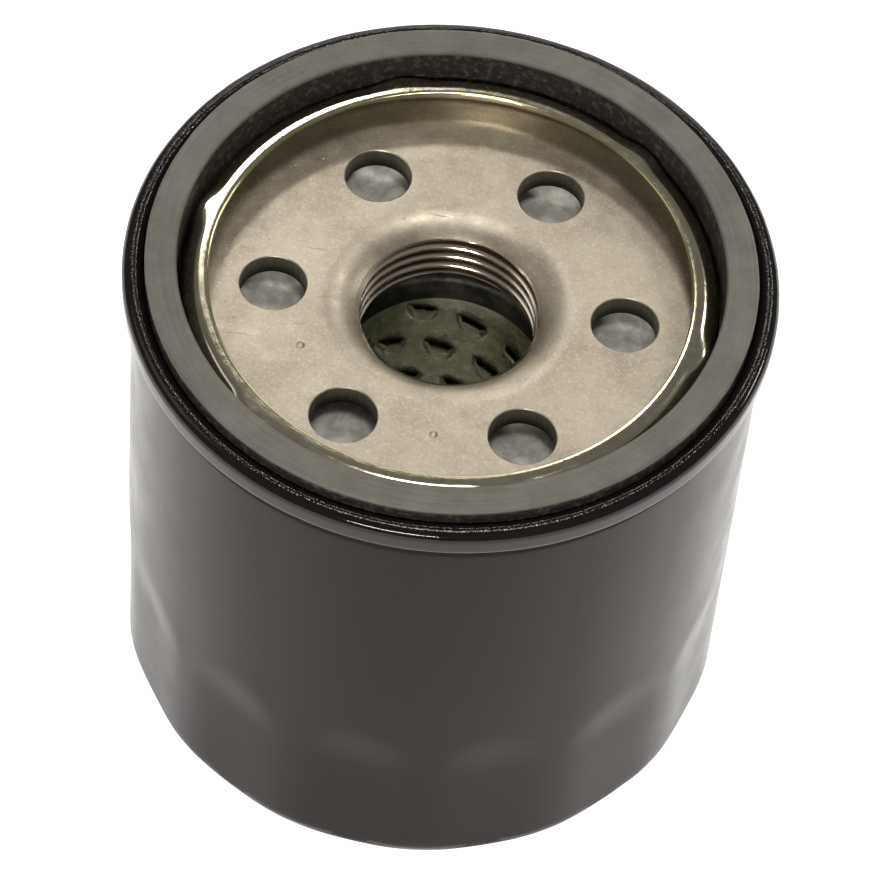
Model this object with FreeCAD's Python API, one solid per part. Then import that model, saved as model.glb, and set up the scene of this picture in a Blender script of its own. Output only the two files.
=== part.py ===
import FreeCAD, Part
import os
from math import atan2, cos, pi, sin, tan
from FreeCAD import Vector

# Spin-on engine oil filter, in millimetres.
# +Z points at the threaded mounting end. The origin is the centre of the foot it stands on.

# ---- outer sizes ----
total_height = 64.0            # foot to the gasket's sealing face
can_outer_r = 33.0
can_sheet = 0.40
foot_corner_r = 3.5
foot_recess_r = 19.0           # raised centre panel of the closed end
foot_recess_depth = 1.2
foot_recess_slope = 2.5        # radial run of the step round the panel
neck_low_drop = 5.9            # where the wall starts to neck in, below the gasket face
neck_high_drop = 4.9
neck_bend_r = 0.8
can_hook_end_drop = 3.2

# ---- wrench flats pressed into the closed end ----
flat_count = 14
flat_distance = 32.5           # from the axis to each flat
flat_top_z = 19.5
flat_runout = 5.0              # height over which a flat fades into the round wall
flat_runout_past_wall = 0.3    # how far outside the wall the fading face ends
flat_phase_deg = 3.8

# ---- lid, gasket groove and double seam ----
lid_sheet = 0.46
lip_inner_r = 25.05
lip_top_drop = 2.84            # lip's top below the gasket face
lip_bend_r = 1.8
groove_inner_r = 27.73         # middle of the sheet
groove_outer_r = 32.03
groove_floor_drop = 6.52       # floor rests on the base plate
groove_inner_bend_r = 0.5
groove_outer_bend_r = 0.9
seam_outer_r = 34.06
seam_top_drop = 1.15
seam_bottom_drop = 4.15
lid_hook_end_drop = 2.75
seam_gap = 0.02                # between the rolled sheets
crimp_count = 6
crimp_phase_deg = -14.5
crimp_half_width = 2.5
crimp_tip_r = 27.4
crimp_root_r = 26.0            # on the lip's flat
crimp_inset = 0.04             # tab's faces inside the sheet's faces

# ---- sealing gasket ----
gasket_inner_r = 28.35
gasket_outer_r = 31.72
gasket_low_edge_r = 0.9        # roundings of its section
gasket_top_edge_r = 0.35

# ---- base plate ----
plate_thickness = 2.5
plate_drop = 7.0               # plate's flat top below the gasket face
plate_rim_r = 31.8             # reaches under the lid's groove, where it is spot-welded
plate_rim_edge_r = 0.8
hub_outer_r = 12.0
hub_bottom_drop = 14.0
entry_edge_r = 9.72            # where the entry's rounding ends and the thread's chamfer starts
entry_edge_drop = 8.34
entry_rounding = 5.9
entry_corner_r = 11.375        # where the entry's rounding would meet the flat
inlet_count = 6
inlet_r = 3.49
inlet_circle_r = 18.43
inlet_phase_deg = -1.64
inlet_chamfer = 0.25
mark_r = 0.8                   # ball of the punch
mark_depth = 0.15
mark_places = [(17.1, -91.0), (16.5, -153.9)]

# ---- M20 x 1.5 thread ----
thread_pitch = 1.5
thread_major_r = 10.0
thread_minor_r = 9.19
thread_groove_count = 3
thread_first_groove = 1.31     # middle of the lowest groove above the hub's end
thread_chamfer = 0.5           # at the hub's end
thread_entry_depth = 0.41      # height of the chamfer at the other end

# ---- filter element ----
cap_sheet = 0.40
upper_cap_top_z = 47.0
lower_cap_bottom_z = 7.6
cap_outer_r = 28.4
cap_rim_height = 3.4
potting_thickness = 1.2
tube_inner_r = 11.55
tube_sheet = 0.40
collar_depth = 3.0             # upper cap's collar inside the tube
collar_bend_room = 0.45        # tube's top edge below the cap, clear of the collar's bend
media_outer_r = 27.3
media_inner_r = 13.2
media_half_paper = 0.30
pleat_count = 44
clip_sheet = 0.3
clip_reach = 0.45              # share of a fold's side that the clip covers

# ---- louvred centre tube: strip wound as a screw with four rows of slots ----
slots_per_turn = 13
slot_rows = 4
slot_row_rise = 5.95
slot_row_shift = 0.39          # each row starts this share of a slot's pitch after the one below
slot_phase_deg = 71.6          # place of one slot of the first row
slot_phase_z = 21.84
slot_margin = 4.0              # plain ends of the tube
slot_length = 3.2
slot_height = 1.3

# ---- anti-drainback valve ----
valve_rubber = 1.2
valve_inner_r = 12.75          # middle of the rubber sleeve round the hub
valve_shoulder_r = 16.0
valve_shoulder_drop = 1.6      # below the plate's underside
valve_step_r = 17.4
valve_step_depth = 2.0
valve_tip_r = 22.4

# ---- bypass valve in the lower end cap ----
bypass_seat_r = 6.0
bypass_disc_r = 7.6
bypass_stem_r = 2.0
bypass_stem_clearance = 0.06
bypass_cage_r = 9.2
bypass_cage_height = 10.6
bypass_cage_sheet = 0.6
bypass_window_count = 4
bypass_window_half_width = 3.4
bypass_window_sill = 1.0
bypass_seal_thickness = 1.0
bypass_disc_thickness = 0.8
bypass_wire = 0.9
bypass_coil_r = 5.0
bypass_turns = 4
bypass_stub_r = 3.15
bypass_washer_r = 5.0
bypass_washer_thickness = 0.5
bypass_head_r = 3.7            # peened end of the stub
rest_gap = 0.02                # between faces that only rest on each other

# ---- element support spring ----
support_wire = 1.4
support_foot_r = 16.0
support_top_r = 12.5
support_turns = 2
support_seat_r = 15.2
support_seat_sheet = 0.5

axis_start = Vector(0, 0, 0)
up = Vector(0, 0, 1)

lower_cap_top_z = lower_cap_bottom_z + cap_sheet
upper_cap_under_z = upper_cap_top_z - cap_sheet
plate_top_z = total_height - plate_drop
plate_under_z = plate_top_z - plate_thickness
foot_panel_top_z = foot_recess_depth + can_sheet


def below(drop):
    """Height of something this far below the gasket face."""
    return total_height - drop


def bent_line(corners, closed=False):
    """Wire in the XZ plane through (r, z) or (r, z, bend radius) corners, with each bend an arc."""
    points = [Vector(corner[0], 0, corner[1]) for corner in corners]
    count = len(points)
    turns = []
    for i in range(count):
        bend = corners[i][2] if len(corners[i]) > 2 else 0
        if not bend:
            turns.append((points[i], None, points[i]))
            continue
        arriving = (points[i] - points[i - 1]).normalize()
        leaving = (points[(i + 1) % count] - points[i]).normalize()
        half_turn = arriving.getAngle(leaving) / 2
        reach = bend * tan(half_turn)
        inward = (leaving - arriving).normalize()
        middle = points[i] + inward * (bend / cos(half_turn) - bend)
        turns.append((points[i] - arriving * reach, middle, points[i] + leaving * reach))
    edges = []
    for i in range(count):
        entry, middle, leave = turns[i]
        if middle:
            edges.append(Part.Arc(entry, middle, leave).toShape())
        if i == count - 1 and not closed:
            break
        following = turns[(i + 1) % count][0]
        if leave.distanceToPoint(following) > 1e-5:
            edges.append(Part.LineSegment(leave, following).toShape())
    return Part.Wire(edges)


def turned(face):
    return face.revolve(axis_start, up, 360)


def turned_outline(corners):
    """Solid of revolution of a closed outline."""
    return turned(Part.Face(bent_line(corners, closed=True)))


def turned_sheet(corners, thickness):
    """Pressed sheet of even thickness whose middle line is the given open path."""
    return turned(bent_line(corners).makeOffset2D(thickness / 2, 0, True, False, False))


def ring(inner_r, outer_r, low_z, high_z):
    return turned_outline([(inner_r, low_z), (outer_r, low_z), (outer_r, high_z), (inner_r, high_z)])


def spun(shape, angle_deg):
    """Copy of a shape turned about the axis."""
    copy = shape.copy()
    copy.rotate(axis_start, up, angle_deg)
    return copy


def around(shape, count, phase_deg=0.0):
    """Evenly spaced copies about the axis."""
    return [spun(shape, phase_deg + 360.0 * i / count) for i in range(count)]


def side_prism(corners, half_width):
    """Prism across the X axis whose outline is given as (r, z) corners."""
    face = Part.Face(bent_line(corners, closed=True))
    face.translate(Vector(0, -half_width, 0))
    return face.extrude(Vector(0, 2 * half_width, 0))


def coil(wire_d, start_r, end_r, low_z, high_z, turn_count):
    """Round-wire coil spring between two heights, cylindrical or conical."""
    rise = high_z - low_z - wire_d
    cone_deg = atan2(end_r - start_r, rise) * 180 / pi
    if start_r == end_r:
        path = Part.makeLongHelix(rise / turn_count, rise, start_r)
    else:
        path = Part.makeHelix(rise / turn_count, rise, start_r, cone_deg)
    profile = Part.Wire(Part.makeCircle(wire_d / 2, Vector(start_r, 0, 0), Vector(0, 1, 0)))
    spring = Part.Wire(path.Edges).makePipeShell([profile], True, True)
    spring.translate(Vector(0, 0, low_z + wire_d / 2))
    return spring


def flat_cutter(inset):
    """Tool for one wrench flat. Its sloping top gives the flat's scalloped upper edge."""
    face_r = flat_distance - inset
    outside_r = can_outer_r + 3
    runout_r = can_outer_r + flat_runout_past_wall - inset
    top_z = flat_top_z + flat_runout
    corners = [(face_r, -1), (face_r, flat_top_z), (runout_r, top_z), (outside_r, top_z), (outside_r, -1)]
    return side_prism(corners, can_outer_r / 4)


def can_body():
    """Drawn can up to mid height, with its wrench flats pressed through the sheet."""
    split_z = total_height - 20
    inner_r = can_outer_r - can_sheet
    panel_shift = 0.09         # keeps the sloping sheet the same thickness
    outside = turned_outline([
        (0, foot_recess_depth), (foot_recess_r, foot_recess_depth, 1.5),
        (foot_recess_r + foot_recess_slope, 0, 1.5), (can_outer_r, 0, foot_corner_r),
        (can_outer_r, split_z), (0, split_z)])
    inside = turned_outline([
        (0, foot_panel_top_z), (foot_recess_r + panel_shift, foot_panel_top_z, 1.5),
        (foot_recess_r + foot_recess_slope + panel_shift, can_sheet, 1.5),
        (inner_r, can_sheet, foot_corner_r - can_sheet),
        (inner_r, split_z + 1), (0, split_z + 1)])
    outside = outside.cut(around(flat_cutter(0), flat_count, flat_phase_deg))
    inside = inside.cut(around(flat_cutter(can_sheet), flat_count, flat_phase_deg))
    return outside.cut(inside)


def can_shell():
    """Can with its necked top and the hook rolled into the double seam."""
    wall_r = can_outer_r - can_sheet / 2
    neck_r = groove_outer_r + lid_sheet / 2 + seam_gap + can_sheet / 2
    hook_width = lid_sheet + can_sheet + 2 * seam_gap
    hook_bend = hook_width / 2
    hook_top_z = below(seam_top_drop + lid_sheet + seam_gap + can_sheet / 2)
    rolled_edge = turned_sheet([
        (wall_r, total_height - 21), (wall_r, below(neck_low_drop), neck_bend_r),
        (neck_r, below(neck_high_drop), neck_bend_r), (neck_r, hook_top_z, hook_bend),
        (neck_r + hook_width, hook_top_z, hook_bend),
        (neck_r + hook_width, below(can_hook_end_drop))], can_sheet)
    return can_body().fuse(rolled_edge).removeSplitter()


def crimp():
    """One pinched tab of the lid's lip that keeps the gasket in its groove."""
    low_z = below(lip_top_drop + lid_sheet - crimp_inset)
    start = Vector(crimp_root_r, -crimp_half_width, low_z)
    end = Vector(crimp_root_r, crimp_half_width, low_z)
    outline = Part.makePolygon([start, Vector(crimp_tip_r, 0, low_z), end, start])
    return Part.Face(outline).extrude(Vector(0, 0, lid_sheet - 1.5 * crimp_inset))


def seaming_lid():
    """Lid sheet: inner lip, gasket groove, and outer edge rolled over and under the can's hook."""
    half = lid_sheet / 2
    lip_z = below(lip_top_drop + half)
    floor_z = below(groove_floor_drop + half)
    roof_z = below(seam_top_drop + half)
    outer_r = seam_outer_r - half
    roof_bend = (outer_r - groove_outer_r) / 2
    tuck_width = lid_sheet + can_sheet + 2 * seam_gap
    tuck_bend = tuck_width / 2
    tuck_z = below(seam_bottom_drop - half)
    sheet = turned_sheet([
        (lip_inner_r + half, lip_z), (groove_inner_r, lip_z, lip_bend_r),
        (groove_inner_r, floor_z, groove_inner_bend_r), (groove_outer_r, floor_z, groove_outer_bend_r),
        (groove_outer_r, roof_z, roof_bend), (outer_r, roof_z, roof_bend),
        (outer_r, tuck_z, tuck_bend), (outer_r - tuck_width, tuck_z, tuck_bend),
        (outer_r - tuck_width, below(lid_hook_end_drop))], lid_sheet)
    return sheet.fuse(around(crimp(), crimp_count, crimp_phase_deg)).removeSplitter()


def seam_sealing_bead():
    """Bead of sealing compound in the crook of the can's hook."""
    crook_r = groove_outer_r + lid_sheet + can_sheet + 2 * seam_gap
    bead_r = lid_sheet / 2 - 0.04
    crook_drop = seam_top_drop + lid_sheet + seam_gap + can_sheet + lid_sheet / 2 + 0.06
    return Part.makeTorus(crook_r, bead_r, Vector(0, 0, below(crook_drop)), up)


def sealing_gasket():
    floor_z = below(groove_floor_drop)
    return turned_outline([
        (gasket_inner_r, floor_z, gasket_low_edge_r), (gasket_outer_r, floor_z, gasket_low_edge_r),
        (gasket_outer_r, total_height, gasket_top_edge_r),
        (gasket_inner_r, total_height, gasket_top_edge_r)])


def thread_groove(middle_z):
    """One turn of the 60 degree thread form, cut as a ring."""
    mouth = thread_pitch * 3 / 8
    root = thread_pitch / 16
    return turned_outline([
        (thread_minor_r - 0.3, middle_z - mouth), (thread_minor_r, middle_z - mouth),
        (thread_major_r, middle_z - root), (thread_major_r, middle_z + root),
        (thread_minor_r, middle_z + mouth), (thread_minor_r - 0.3, middle_z + mouth)])


def plate_blank():
    """Flat plate with its drawn hub, before the thread and the holes."""
    hub_z = below(hub_bottom_drop)
    return turned_outline([
        (hub_outer_r, hub_z, 0.6), (thread_minor_r + thread_chamfer, hub_z),
        (thread_minor_r, hub_z + thread_chamfer),
        (thread_minor_r, below(entry_edge_drop + thread_entry_depth)),
        (entry_edge_r, below(entry_edge_drop)), (entry_corner_r, plate_top_z, entry_rounding),
        (plate_rim_r, plate_top_z, 0.3), (plate_rim_r, plate_under_z, plate_rim_edge_r),
        (hub_outer_r, plate_under_z, 1.2)])


def inlet_hole():
    """Cutter for one oil inlet, with its small top chamfer."""
    hole = Part.makeCylinder(inlet_r, 2 * plate_thickness, Vector(inlet_circle_r, 0, plate_under_z - 1), up)
    rim = Part.makeCone(inlet_r, inlet_r + 2 * inlet_chamfer, 2 * inlet_chamfer,
                        Vector(inlet_circle_r, 0, plate_top_z - inlet_chamfer), up)
    return hole.fuse(rim)


def punch_mark(radius, angle_deg):
    """Cutter for one shallow round inspection mark."""
    dot = Part.makeSphere(mark_r, Vector(radius, 0, plate_top_z + mark_r - mark_depth))
    return spun(dot, angle_deg)


def base_plate():
    """Thick plate with a drawn threaded hub and the ring of oil inlet holes."""
    first_groove_z = below(hub_bottom_drop - thread_first_groove)
    grooves = [thread_groove(first_groove_z + thread_pitch * i) for i in range(thread_groove_count)]
    holes = around(inlet_hole(), inlet_count, inlet_phase_deg)
    marks = [punch_mark(radius, angle_deg) for radius, angle_deg in mark_places]
    return plate_blank().cut(grooves).cut(holes).cut(marks)


def anti_drainback_valve():
    """Moulded rubber: sleeve round the hub, shoulder, step down, and skirt up to the plate."""
    sleeve_low_z = upper_cap_top_z + valve_rubber / 2 + rest_gap
    shoulder_z = plate_under_z - valve_shoulder_drop
    skirt_tip_z = plate_under_z - valve_rubber / 2 - 0.05
    return turned_sheet([
        (valve_inner_r, sleeve_low_z), (valve_inner_r, shoulder_z, 0.8),
        (valve_shoulder_r, shoulder_z, 0.8), (valve_step_r, shoulder_z - valve_step_depth, 1.0),
        (valve_tip_r, skirt_tip_z)], valve_rubber)


def upper_end_cap():
    """Pressed pan over the media, with a collar turned down into the centre tube."""
    half = cap_sheet / 2
    collar_r = tube_inner_r - half - 0.05
    flat_z = upper_cap_top_z - half
    return turned_sheet([
        (collar_r, flat_z - collar_depth), (collar_r, flat_z, 0.6), (cap_outer_r - half, flat_z, 0.8),
        (cap_outer_r - half, flat_z - cap_rim_height)], cap_sheet)


def lower_end_cap():
    """Pressed pan under the media, with the bypass valve's seat hole in its middle."""
    half = cap_sheet / 2
    flat_z = lower_cap_bottom_z + half
    return turned_sheet([
        (bypass_seat_r + half, flat_z), (cap_outer_r - half, flat_z, 0.8),
        (cap_outer_r - half, flat_z + cap_rim_height)], cap_sheet)


def potting(low_z):
    """Disc of adhesive that bonds the media to an end cap."""
    tube_outer_r = tube_inner_r + tube_sheet
    return ring(tube_outer_r + 0.1, cap_outer_r - cap_sheet - 0.6, low_z, low_z + potting_thickness)


def lower_potting():
    return potting(lower_cap_top_z + rest_gap)


def upper_potting():
    return potting(upper_cap_under_z - rest_gap - potting_thickness)


def pleat_corner(index):
    """Fold line of the paper: even ones are outer tips, odd ones inner tips."""
    radius = media_inner_r if index % 2 else media_outer_r
    angle = pi * index / pleat_count
    return Vector(radius * cos(angle), radius * sin(angle), 0)


def paper_face(half_thickness):
    """Plan view of the folded paper, this thick to each side of its middle line."""
    folds = [pleat_corner(i) for i in range(2 * pleat_count)]
    zigzag = Part.makePolygon(folds + [folds[0]])
    outer = zigzag.makeOffset2D(half_thickness)
    inner = zigzag.makeOffset2D(-half_thickness)
    return Part.Face(outer).cut(Part.Face(inner))


def media_heights():
    low_z = lower_cap_top_z + potting_thickness + 2 * rest_gap
    high_z = upper_cap_under_z - potting_thickness - 2 * rest_gap
    return low_z, high_z


def pleated_media():
    low_z, high_z = media_heights()
    paper = paper_face(media_half_paper).extrude(Vector(0, 0, high_z - low_z))
    paper.translate(Vector(0, 0, low_z))
    return paper


def media_seam_clip():
    """Folded metal strip that crimps the paper's two ends together over one outer fold."""
    low_z, high_z = media_heights()
    tip = pleat_corner(0)
    back = tip + (pleat_corner(1) - tip) * clip_reach
    front = tip + (pleat_corner(-1) - tip) * clip_reach
    fold = Part.makePolygon([back, tip, front])
    wrap = fold.makeOffset2D(media_half_paper + rest_gap + clip_sheet, 0, True, False, False)
    paper = paper_face(media_half_paper + rest_gap)
    inside = Part.Face(Part.makePolygon([
        tip, tip + (back - tip) * 2, tip + (front - tip) * 2, tip]))
    clip = wrap.cut(paper).cut(inside)
    height = high_z - low_z - 2 * rest_gap
    clip_solid = max(clip.Faces, key=lambda face: face.Area).extrude(Vector(0, 0, height))
    clip_solid.translate(Vector(0, 0, low_z + rest_gap))
    return clip_solid


def tube_slot(angle_deg, height, lean_deg):
    """Cutter for one louvre opening, lying along the wound strip."""
    cutter = Part.makeBox(4, slot_length, slot_height, Vector(-2, -slot_length / 2, -slot_height / 2))
    cutter.rotate(axis_start, Vector(1, 0, 0), lean_deg)
    cutter.translate(Vector(tube_inner_r + tube_sheet / 2, 0, height))
    cutter.rotate(axis_start, up, angle_deg)
    return cutter


def centre_tube():
    """Louvred tube that carries the media's inside. Its slots follow the wound strip."""
    low_z = lower_cap_top_z + rest_gap
    high_z = upper_cap_under_z - collar_bend_room
    tube_outer_r = tube_inner_r + tube_sheet
    turn_rise = slot_rows * slot_row_rise
    lean_deg = Vector(1, 0, turn_rise / (2 * pi * tube_outer_r)).getAngle(Vector(1, 0, 0)) * 180 / pi
    cutters = []
    for step in range(-2 * slots_per_turn, 3 * slots_per_turn):
        for row in range(slot_rows):
            turn = (step + slot_row_shift * row) / slots_per_turn
            height = slot_phase_z + turn_rise * turn + slot_row_rise * row
            if low_z + slot_margin < height < high_z - slot_margin:
                cutters.append(tube_slot(slot_phase_deg + 360 * turn, height, lean_deg))
    return ring(tube_inner_r, tube_outer_r, low_z, high_z).cut(cutters)


def bypass_cage():
    """Windowed cup on the lower cap that guides the poppet and holds its spring."""
    low_z = lower_cap_top_z + rest_gap
    half = bypass_cage_sheet / 2
    wall_r = bypass_cage_r - half
    guide_r = bypass_stem_r + bypass_stem_clearance
    roof_z = low_z + bypass_cage_height - half
    cup = turned_outline([
        (guide_r, roof_z - half), (wall_r - half, roof_z - half), (wall_r - half, low_z),
        (tube_inner_r - 0.3, low_z), (tube_inner_r - 0.3, low_z + bypass_cage_sheet),
        (wall_r + half, low_z + bypass_cage_sheet), (wall_r + half, roof_z + half, 0.6),
        (guide_r, roof_z + half)])
    near_r = wall_r - 3
    far_r = wall_r + 3
    window_low_z = low_z + bypass_cage_sheet + bypass_window_sill
    window_high_z = roof_z - half - bypass_window_sill
    outline = [
        (near_r, window_low_z), (far_r, window_low_z),
        (far_r, window_high_z), (near_r, window_high_z)]
    window = side_prism(outline, bypass_window_half_width)
    return cup.cut(around(window, bypass_window_count, 45))


def bypass_seal():
    """Flat rubber washer under the poppet that closes the seat."""
    low_z = lower_cap_top_z + rest_gap
    return ring(bypass_stub_r + rest_gap, bypass_disc_r, low_z, low_z + bypass_seal_thickness)


def bypass_washer():
    """Steel washer inside the seat hole that holds the seal against the poppet."""
    return ring(bypass_stub_r + rest_gap, bypass_washer_r,
                lower_cap_top_z - bypass_washer_thickness, lower_cap_top_z)


def bypass_poppet():
    """Steel disc with a guide stem above, and below it a stub peened over the washer."""
    disc_z = lower_cap_top_z + bypass_seal_thickness + 2 * rest_gap
    disc_top_z = disc_z + bypass_disc_thickness
    stem_top_z = lower_cap_top_z + bypass_cage_height + 1.4
    head_top_z = lower_cap_top_z - bypass_washer_thickness - rest_gap
    return turned_outline([
        (0, head_top_z - 0.4), (bypass_head_r, head_top_z - 0.4, 0.2), (bypass_head_r, head_top_z),
        (bypass_stub_r, head_top_z), (bypass_stub_r, disc_z),
        (bypass_disc_r, disc_z), (bypass_disc_r, disc_top_z), (bypass_stem_r, disc_top_z),
        (bypass_stem_r, stem_top_z, 0.5), (0, stem_top_z)])


def bypass_spring():
    """Coil that holds the poppet on its seat."""
    low_z = lower_cap_top_z + bypass_seal_thickness + bypass_disc_thickness + 3 * rest_gap
    high_z = lower_cap_top_z + bypass_cage_height - bypass_cage_sheet
    return coil(bypass_wire, bypass_coil_r, bypass_coil_r, low_z, high_z, bypass_turns)


def support_spring_seat():
    """Pressed ring under the lower cap that keeps the support spring central."""
    half = support_seat_sheet / 2
    flat_z = lower_cap_bottom_z - rest_gap - half
    lip_r = support_top_r - support_wire / 2 - 0.3 - half
    lip_depth = 1.5
    return turned_sheet([
        (lip_r, flat_z - lip_depth), (lip_r, flat_z, 0.4), (support_seat_r, flat_z)], support_seat_sheet)


def element_support_spring():
    """Conical coil between the closed end and the element's spring seat."""
    return coil(support_wire, support_foot_r, support_top_r, foot_panel_top_z + rest_gap,
                lower_cap_bottom_z - support_seat_sheet - 2 * rest_gap, support_turns)


subparts = {
    "can_shell": can_shell,
    "seaming_lid": seaming_lid,
    "seam_sealing_bead": seam_sealing_bead,
    "sealing_gasket": sealing_gasket,
    "base_plate": base_plate,
    "anti_drainback_valve": anti_drainback_valve,
    "upper_end_cap": upper_end_cap,
    "upper_potting": upper_potting,
    "pleated_media": pleated_media,
    "media_seam_clip": media_seam_clip,
    "centre_tube": centre_tube,
    "lower_potting": lower_potting,
    "lower_end_cap": lower_end_cap,
    "bypass_cage": bypass_cage,
    "bypass_seal": bypass_seal,
    "bypass_washer": bypass_washer,
    "bypass_poppet": bypass_poppet,
    "bypass_spring": bypass_spring,
    "support_spring_seat": support_spring_seat,
    "element_support_spring": element_support_spring,
}

os.makedirs("parts", exist_ok=True)
for name, build in subparts.items():
    shape = build()
    print(name, shape.ShapeType, "valid" if shape.isValid() else "NOT VALID",
          len(shape.Solids), "solid", round(shape.Volume, 1), "mm3", len(shape.Faces), "faces")
    shape.exportStep(f"parts/{name}.step")
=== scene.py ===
from math import atan2, cos, pi, radians, sin, sqrt, tan

import bmesh
import bpy
import numpy as np
from mathutils import Matrix, Vector


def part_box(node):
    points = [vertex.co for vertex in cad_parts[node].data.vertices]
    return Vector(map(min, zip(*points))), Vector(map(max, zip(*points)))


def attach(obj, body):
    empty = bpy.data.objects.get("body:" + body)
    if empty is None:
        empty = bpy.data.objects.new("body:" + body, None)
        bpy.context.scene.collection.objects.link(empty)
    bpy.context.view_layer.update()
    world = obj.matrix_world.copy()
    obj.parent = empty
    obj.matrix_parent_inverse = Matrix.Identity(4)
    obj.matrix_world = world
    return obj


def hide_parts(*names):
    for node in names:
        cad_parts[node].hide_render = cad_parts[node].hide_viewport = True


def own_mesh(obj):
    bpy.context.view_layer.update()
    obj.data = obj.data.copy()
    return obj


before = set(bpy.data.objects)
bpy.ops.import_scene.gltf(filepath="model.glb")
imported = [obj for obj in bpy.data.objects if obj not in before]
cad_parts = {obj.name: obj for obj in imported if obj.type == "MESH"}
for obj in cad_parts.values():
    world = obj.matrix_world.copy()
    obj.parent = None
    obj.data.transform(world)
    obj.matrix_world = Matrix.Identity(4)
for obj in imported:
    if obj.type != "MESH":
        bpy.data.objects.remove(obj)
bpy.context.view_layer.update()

# Spin-on oil filter. Shapes are worked out in millimetres and turned to metres when a mesh is made.
MM = 0.001


def node_box(node):
    """Lowest and highest corner of a CAD node, in millimetres."""
    low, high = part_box(node)
    return low / MM, high / MM


_, gasket_high = node_box("sealing_gasket")
_, lid_high = node_box("seaming_lid")
plate_low, plate_high = node_box("base_plate")
tube_low, tube_high = node_box("centre_tube")
cap_low, cap_high = node_box("upper_end_cap")
spring_low, spring_high = node_box("bypass_spring")

# ---- sizes taken from the frame ----
total_height = gasket_high.z
gasket_outer_r = gasket_high.x
seam_outer_r = lid_high.x
seam_top_z = lid_high.z
plate_rim_r = plate_high.x
plate_top_z = plate_high.z
hub_bottom_z = plate_low.z
tube_outer_r = tube_high.x
tube_low_z = tube_low.z
tube_high_z = tube_high.z
cap_outer_r = cap_high.x
cap_top_z = cap_high.z

# ---- can ----
can_outer_r = 33.0
can_sheet = 0.40
foot_corner_r = 3.5
foot_recess_r = 19.0
foot_recess_depth = 1.2
foot_recess_slope = 2.5         # how far the recess's wall runs outward
foot_recess_bend_r = 1.6
neck_low_drop = 5.9             # a drop is measured down from the gasket's face
neck_high_drop = 4.9
neck_bend_r = 0.8
hook_end_drop = 3.2

# ---- wrench flats ----
flat_count = 14
flat_phase_deg = 3.8
flat_distance = 32.61           # from the axis to the middle of a flat
flat_edge_softness = 0.34
flat_top_z = 19.5
flat_runout = 5.0               # above flat_top_z a flat leans out to the wall over this height
flat_runout_lead = 2.5
flat_runout_excess = 0.3
flat_columns = 30               # mesh columns to each flat

# ---- seaming lid ----
lid_sheet = 0.46
lip_inner_r = 25.05
lip_top_drop = 2.84
lip_bend_r = 1.8
groove_inner_r = 27.73
groove_inner_bend_r = 0.5
groove_outer_r = 32.03
groove_outer_bend_r = 0.9
groove_floor_drop = 6.52
seam_bottom_drop = 4.15
seam_gap = 0.02
tuck_end_drop = 2.75
seam_wave = 0.04
seam_fine_wave = 0.012
seam_inset = 0.05               # keeps the wavy seam inside its full radius
paint_edge_r = 29.2
paint_fade = 0.8
wrinkle_r = 33.05               # rolling wrinkles fade outside this radius
wrinkle_fade = 0.4

# ---- crimps in the lid's lip ----
crimp_count = 6
crimp_phase_deg = -14.5
crimp_half_deg = 8.5
crimp_foot_drop = 5.9
crimp_rise = 2.4
crimp_push = 0.60
crimp_lift = 0.30

# ---- gasket ----
gasket_inner_r = 28.35
gasket_face_edge_r = 0.32
gasket_foot_edge_r = 0.9
gasket_wave = 0.07
gasket_inset = 0.05

# ---- base plate ----
plate_thickness = 2.5
hub_outer_r = 12.0
hub_blend_r = 14.2              # the plate is flat outside this radius
entry_corner_r = 11.375
entry_round_r = 5.9
entry_edge_r = 9.72
entry_edge_z = total_height - 8.34
entry_slope = 1.25
bore_chamfer = 0.5
thread_pitch = 1.5
thread_major_r = 10.0
thread_minor_r = 9.19
inlet_count = 6
inlet_r = 3.49
inlet_flare = 0.14
inlet_circle_r = 18.43
inlet_phase_deg = -1.64
mark_places = [(17.1, -91.0), (16.5, -153.9)]    # radius, and angle in degrees
mark_ball_r = 0.8
mark_depth = 0.15

# ---- anti-drainback valve ----
valve_rubber = 1.2
valve_inner_r = 12.75
valve_shoulder_drop = 1.9       # below the plate's underside
valve_shoulder_r = 20.6
valve_tip_r = 22.4
skirt_wave = 0.10
skirt_wave_r = 16.5

# ---- upper cap and centre tube ----
cap_sheet = 0.40
collar_depth = 3.0
collar_clearance = 0.05
tube_sheet = 0.40
slots_per_turn = 13
slot_rows = 4
slot_row_rise = 5.95
slot_phase_deg = 71.6
slot_start_z = 21.84
slot_shift = 0.39
columns_per_slot = 20
louvre_half_length = 1.75
louvre_depth = 0.85
louvre_drop = 2.4
plain_tube_low = 2.5            # the tube has no louvres this close to its lower end
plain_tube_high = 4.2
lock_seam_offset = 2.4
lock_seam_depth = 0.22
lock_seam_half_width = 1.1
crease_depth = 0.16
crease_offset = 0.25
crease_half_width = 0.22
lock_seam_fade = 1.5

# ---- bypass valve's spring ----
spring_wire = 0.9
spring_turns = 4
spring_wire_facets = 16
spring_turn_steps = 48

merge_distance = 1e-7           # metres


def below(drop):
    """Height of something this far below the gasket's face."""
    return total_height - drop


# ---------------------------------------------------------------- outlines

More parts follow.
